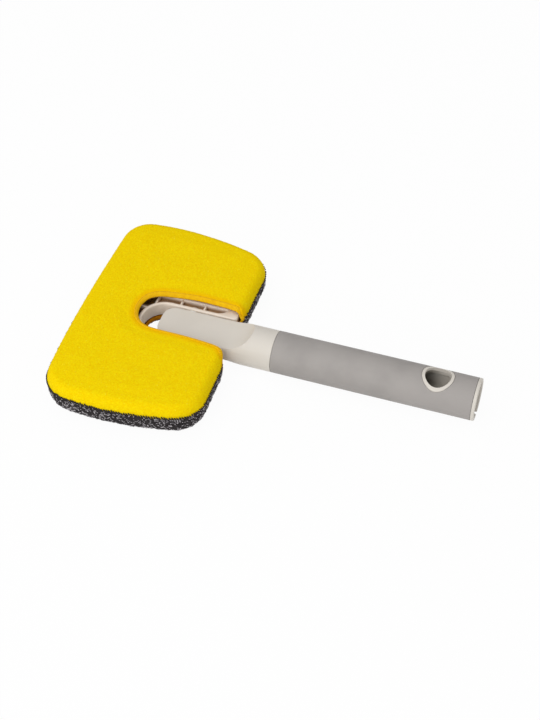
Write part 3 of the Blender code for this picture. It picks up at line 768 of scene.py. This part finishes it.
# The sponge's amber-brown is made darker as painted shade, so that the cavities seen through the
# slot look shaded brown.
open_cells.blend((0.85, 0.50, 0.18, 1), (0.55, 0.29, 0.085, 1)).into(shader["Base Color"])
(1.0 - 0.08 * cells).into(shader["Roughness"])
(1.0 - cells).bump(0.6, 0.0006).into(shader["Normal"])
pad_back = rim_half_height + 0.0004
pad_depth = cloth_thickness + 0.0004
middle_y = 0.0035
for name, node, route, share, height, facing in (
        ("upper_sponge", "upper_foam_pad", opening_route, 0.07, top_height, 1),
        ("lower_sponge", "lower_foam_pad", lower_route, 0.02, bottom_height, -1)):
    pad_route = [(x - 0.02 * share, middle_y + (y - middle_y) * (1 + share)) for x, y in route]
    form = cloth_half(pad_route, height, pad_back + pad_depth, facing, 90, 16, 5, pad_back,
                      pad_depth)[0]
    back_edges = [edge for edge in form.edges if edge.is_boundary]
    bmesh.ops.triangle_fill(form, edges=back_edges, use_beauty=True)
    sponge = piece_from(form, name, foam, "head")
    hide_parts(node)

# An overlock seam joins the two cloths all round the head. Its dark thread wraps over the edge of
# the yellow cloth in slanting stitches.
stitch_pitch, stitch_size, stitch_lean = 0.0018, (0.0016, 0.0006, 0.0005), 34
stitch_lift, stitch_stand_off = 0.0007, 0.0003
thread, shader, place = new_finish("overlock_thread", {"Specular IOR Level": 0.2})
strands = place.noise(700, 2)
strands.blend((0.010, 0.009, 0.010, 1), (0.045, 0.04, 0.045, 1)).into(shader["Base Color"])
(0.75 + 0.15 * place.noise(900, 2)).into(shader["Roughness"])
seam_line = upper_ring[around:] + upper_ring[:1]


def line_length(line):
    return sum((second - first).length for first, second in zip(line, line[1:]))


stitches = []
upright = Vector((0, 0, 1))
points = at_places(seam_line, even_places(seam_line, round(line_length(seam_line) / stitch_pitch)))
for before, point, after in zip(points, points[1:], points[2:]):
    out = (after - before).normalized().cross(upright).normalized()
    if out.dot(point - Vector((front_x + head_length / 2, 0, point.z))) < 0:
        out = -out
    angle = stitch_lean + chance.uniform(-7, 7)
    lean = Matrix.Rotation(math.radians(angle), 3, out) @ upright
    basis = Matrix((lean, out.cross(lean), out)).transposed().to_4x4()
    raised = Vector((0, 0, stitch_lift * chance.uniform(0.2, 1.8)))
    at = Matrix.Translation(point + raised + out * stitch_stand_off)
    stitches.append(at @ basis @ Matrix.Diagonal((*stitch_size, 1)))
piece_from(grains(stitches), "overlock_stitches", thread, "head", 180)

# The opening is bound with an orange-yellow elastic, folded over the edge of both cloths and sewn
# with a row of small stitches. It is one loop: forward along the upper hem, down at the rear
# corners and back along the lower hem.
elastic_width, elastic_thickness = 0.0041, 0.0019
shift_out, shift_up = 0.0006, 0.00055
corner_draw, lower_raise = 0.0012, 0.0031
row_step_mm, row_out, row_up = 1.25, 0.0023, 0.00105
dot_size = (0.0004, 0.00024, 0.00022)
elastic, shader, place = new_finish("ribbed_elastic", {"Specular IOR Level": 0.1})
along = place.node("ShaderNodeUVMap", {"uv_map": "length_and_turn"}, {})
ribs = along.node("ShaderNodeTexWave", {"bands_direction": "X", "wave_profile": "SIN"},
                  {"Vector": along, "Scale": 0.33, "Distortion": 0.6, "Detail": 1.0})
worn = along.noise(0.35, 3)
# The ribs darken the colour in their grooves as painted shade; the slow noise varies the tone at
# random.
rib_shade_and_tone = (0.45 * ribs + 0.75 * worn).step(0.2, 0.95)
rib_shade_and_tone = rib_shade_and_tone.blend((0.84, 0.42, 0.003, 1), (0.98, 0.62, 0.007, 1))
# Painted shade: below the axis the elastic turns a darker red-brown, as in the shadow under the
# head.
height = place.part(2) - axis_z
height.step(-0.005, 0.004).blend((0.66, 0.25, 0.004, 1), rib_shade_and_tone).into(shader["Base Color"])
(0.78 + 0.12 * worn).into(shader["Roughness"])
(ribs + 0.8 * place.noise(1500, 2)).bump(0.35, 0.0003).into(shader["Normal"])


def elastic_frames(count):
    """Places along the loop with the direction across the elastic and the one along it."""
    line, leans = [], []
    back = slice(around - 1, 0, -1)
    parts = ((upper_ring[:around + 1], mouth_share[:around + 1], upper_away, 1),
             (lower_ring[back], lower_share[back], lower_away[back], -1))
    for points, shares, aways, facing in parts:
        for point, share, away in zip(points, shares, aways):
            side = 1 if point.y > 0 else -1
            if facing > 0:
                over, raised = 0.7 * away + Vector((0, 0, 0.72)), 0
            else:
                over, raised = 0.12 * away - Vector((0, 0, 1)), lower_raise * share
            line.append(point + Vector((-corner_draw * (1 - share), 0, raised)))
            leans.append(Vector((0.3, 0.95 * side, 0)).lerp(over, share))
    line.append(line[0])
    leans.append(leans[0])
    places = even_places(line, count)
    points, ways = at_places(line, places)[:-1], at_places(leans, places)[:-1]
    frames = []
    for k, (point, way) in enumerate(zip(points, ways)):
        along_it = (points[(k + 2) % count] - points[k - 2]).normalized()
        way = (way - way.dot(along_it) * along_it).normalized()
        frames.append((point, way, along_it))
    return frames


loop_steps = 380
frames = elastic_frames(loop_steps)
loop_mm = line_length([item[0] for item in frames]) * 1000
band = bmesh.new()
station = band.verts.layers.float.new("length")
turn_at = band.verts.layers.float.new("turn")
section = bmesh.ops.create_circle(band, segments=14, radius=1)["verts"]
for vert in section:
    vert[turn_at] = math.atan2(vert.co.y, vert.co.x)
    vert.co.x = vert.co.x * elastic_width / 2 + shift_out
    vert.co.y = vert.co.y * elastic_thickness / 2 + shift_up
old = Matrix.Identity(4)
ring_edges = list(band.edges)
first_edges = list(ring_edges)
for k, (point, way, along_it) in enumerate(frames):
    new = Matrix((way, along_it.cross(way), along_it)).transposed().to_4x4()
    new.translation = point
    if k:
        made = bmesh.ops.extrude_edge_only(band, edges=ring_edges)["geom"]
        section = [item for item in made if isinstance(item, bmesh.types.BMVert)]
        ring_edges = [item for item in made if isinstance(item, bmesh.types.BMEdge)
                      and all(vert in section for vert in item.verts)]
    bmesh.ops.transform(band, matrix=new @ old.inverted(), verts=section)
    for vert in section:
        vert[station] = loop_mm * k / loop_steps
    old = new
bmesh.ops.bridge_loops(band, edges=first_edges + ring_edges)
layer = band.loops.layers.uv.new("length_and_turn")
for face in band.faces:
    far = max(vert[station] for vert in face.verts)
    turns = [vert[turn_at] for vert in face.verts]
    for corner in face.loops:
        place_along, turned_by = corner.vert[station], corner.vert[turn_at]
        if far - place_along > loop_mm / 2:
            place_along += loop_mm
        if max(turns) - turned_by > math.pi:
            turned_by += 2 * math.pi
        corner[layer].uv = (place_along, turned_by)
binding = piece_from(band, "elastic_binding", elastic, "head", 180)
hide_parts("opening_binding")

dots, shader, place = new_finish("binding_thread", {})
twist = place.noise(500, 2)
twist.blend((0.62, 0.28, 0.004, 1), (0.78, 0.42, 0.006, 1)).into(shader["Base Color"])
(0.7 + 0.2 * place.noise(800, 2)).into(shader["Roughness"])
stitch_places = []
for point, way, along_it in elastic_frames(round(loop_mm / row_step_mm)):
    upright = along_it.cross(way)
    basis = Matrix((along_it, way, upright)).transposed().to_4x4()
    top = upright if upright.z * (1 if point.z > axis_z else -1) > 0 else -upright
    at = Matrix.Translation(point + way * row_out + top * row_up)
    stitch_places.append(at @ basis @ Matrix.Diagonal((*dot_size, 1)))
piece_from(grains(stitch_places), "binding_stitches", dots, "head", 180)

# The handle core is one long ivory moulding: the flat tongue in the slot, the scooped neck, and a
# hollow tube that ends in a ring with a drain notch. Its edges are rounded where the mould halves
# meet.
tail_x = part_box("handle_core")[1].x
grip_end_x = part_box("grip_sleeve")[1].x
ring_shift = 0.0009
mouth_radius, mouth_rounding = 0.0135, 0.0009
tail_face = 0.00005
hole_x, tube_radius = tail_x - 0.0303, 0.013
# Painted shade: a near-black olive laid inside the tube, where it lies in shadow.
painted_tube_shade = (0.05, 0.042, 0.026, 1)


def softened(node, name, finish, width):
    """A merged copy of a CAD node with its sharp edges rounded, and its part of the tail ring's
    edge further out."""
    form = bmesh.new()
    form.from_mesh(frame["nodes"][node].data)
    bmesh.ops.remove_doubles(form, verts=form.verts, dist=0.00002)
    at_ring = [vert for vert in form.verts if abs(vert.co.x - grip_end_x) < ring_shift]
    bmesh.ops.translate(form, vec=(ring_shift, 0, 0), verts=at_ring)
    mouth = {vert for vert in form.verts if vert.co.x > tail_x - tail_face
             and math.hypot(vert.co.y, vert.co.z - axis_z) < mouth_radius}
    mouth_edges = [edge for edge in form.edges if all(vert in mouth for vert in edge.verts)]
    bmesh.ops.bevel(form, geom=mouth_edges, offset=mouth_rounding, affect="EDGES", segments=3,
                    profile=0.5, material=-1)
    bmesh.ops.dissolve_limit(form, angle_limit=math.radians(0.6), verts=form.verts,
                             edges=form.edges)
    piece = piece_from(form, name, finish, "handle", 30)
    rounding = piece.modifiers.new("rounding", "BEVEL")
    rounding.width = width
    rounding.segments = 3
    rounding.limit_method = "ANGLE"
    rounding.angle_limit = math.radians(32)
    rounding.miter_outer = "MITER_ARC"
    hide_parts(node)


def in_the_tube(place):
    """Painted shade inside the tube, darkest on the side of the neck."""
    from_axis = place.node("ShaderNodeMapping", {}, {"Vector": place, "Location": (0, 0, -axis_z),
                                                     "Scale": (0, 1, 1)})
    radius = from_axis.node("ShaderNodeVectorMath", {"operation": "LENGTH"}, {0: from_axis}, 1)
    ahead = place.part(0) - hole_x
    wall = 1.0 - radius.step(tube_radius + 0.0001, tube_radius + 0.0004)
    inner = ahead.step(-0.06, -0.05) * (1.0 - ahead.step(0.018, 0.024))
    return wall * inner * (0.94 - 0.77 * ahead.step(-0.012, 0.006))


neck_ivory = moulded("handle_ivory", (0.72, 0.675, 0.61, 1), (0.69, 0.645, 0.58, 1), 0.4, 0.08,
                     in_the_tube, painted_tube_shade)
softened("handle_core", "handle_moulding", neck_ivory, 0.0004)

# The grip is a warm grey soft elastomer moulded over the tube, flush with the neck and the tail
# ring. It is finely matt and slightly polished where the hand holds it.
grip_grey = moulded("soft_grey_elastomer", (0.392, 0.366, 0.348, 1), (0.345, 0.322, 0.306, 1),
                    0.58, 0.3)
softened("grip_sleeve", "soft_grip", grip_grey, 0.0003)

# The brush lies on a plain white floor. Two large soft boxes light it, one from the camera's side
# and one from above, and the camera looks at it from the photograph's angle.
floor_finish, shader, place = new_finish("plain_white_floor", {})
place.noise(3, 2).blend((0.9, 0.9, 0.9, 1), (0.93, 0.93, 0.93, 1)).into(shader["Base Color"])
(0.85 + 0.05 * place.noise(5, 2)).into(shader["Roughness"])
nodes = floor_finish.node_tree.nodes
seen = nodes.new("ShaderNodeLightPath").outputs
shown = Signal(seen["Is Camera Ray"]).maths("MAXIMUM", Signal(seen["Is Camera Ray"]),
                                            Signal(seen["Is Glossy Ray"]))
white = place.node("ShaderNodeEmission", {}, {"Color": (1, 1, 1, 1), "Strength": 1.0})
lit = Signal(nodes["Principled BSDF"].outputs["BSDF"])
lit.node("ShaderNodeMixShader", {}, {0: 0.955 * shown, 1: lit, 2: white}) \
    .into(nodes["Material Output"].inputs["Surface"])
floor_form = bmesh.new()
bmesh.ops.create_grid(floor_form, x_segments=8, y_segments=8, size=4)
floor_mesh = bpy.data.meshes.new("floor")
floor_form.to_mesh(floor_mesh)
floor_form.free()
floor_mesh.materials.append(floor_finish)
floor = bpy.data.objects.new("floor", floor_mesh)
bpy.context.scene.collection.objects.link(floor)

world = bpy.data.worlds.new("studio")
bpy.context.scene.world = world
world.use_nodes = True
background = world.node_tree.nodes["Background"]
path = world.node_tree.nodes.new("ShaderNodeLightPath").outputs
camera_sees = Signal(path["Is Camera Ray"])
(0.55 + 0.45 * camera_sees).into(background.inputs["Strength"])
background.inputs["Color"].default_value = (1, 1, 1, 1)

azimuth, elevation = math.radians(18.19), math.radians(46.91)
aim = Vector((-0.0013, -0.0095, 0.0156))


def lamp(name, turn, height, distance, size, power):
    """A square soft box that faces the brush, at an azimuth and a height angle from it."""
    turn, height = math.radians(turn), math.radians(height)
    data = bpy.data.lights.new(name, "AREA")
    data.size = size
    data.energy = power
    box = bpy.data.objects.new(name, data)
    away = Vector((math.sin(turn) * math.cos(height), -math.cos(turn) * math.cos(height),
                   math.sin(height)))
    box.location = aim + distance * away
    box.rotation_euler = away.to_track_quat("Z", "Y").to_euler()
    bpy.context.scene.collection.objects.link(box)


lamp("key_softbox", -15, 34, 1.6, 1.2, 8.5)
lamp("top_softbox", -50, 72, 1.6, 1.4, 6.2)

distance = 1.048
camera_data = bpy.data.cameras.new("camera")
camera_data.lens = 72.5
camera = bpy.data.objects.new("camera", camera_data)
camera.location = aim + distance * Vector((math.sin(azimuth) * math.cos(elevation),
                                           -math.cos(azimuth) * math.cos(elevation),
                                           math.sin(elevation)))
camera.rotation_euler = (math.pi / 2 - elevation, 0, azimuth)
bpy.context.scene.collection.objects.link(camera)
bpy.context.scene.camera = camera
bpy.context.scene.view_settings.view_transform = "Standard"
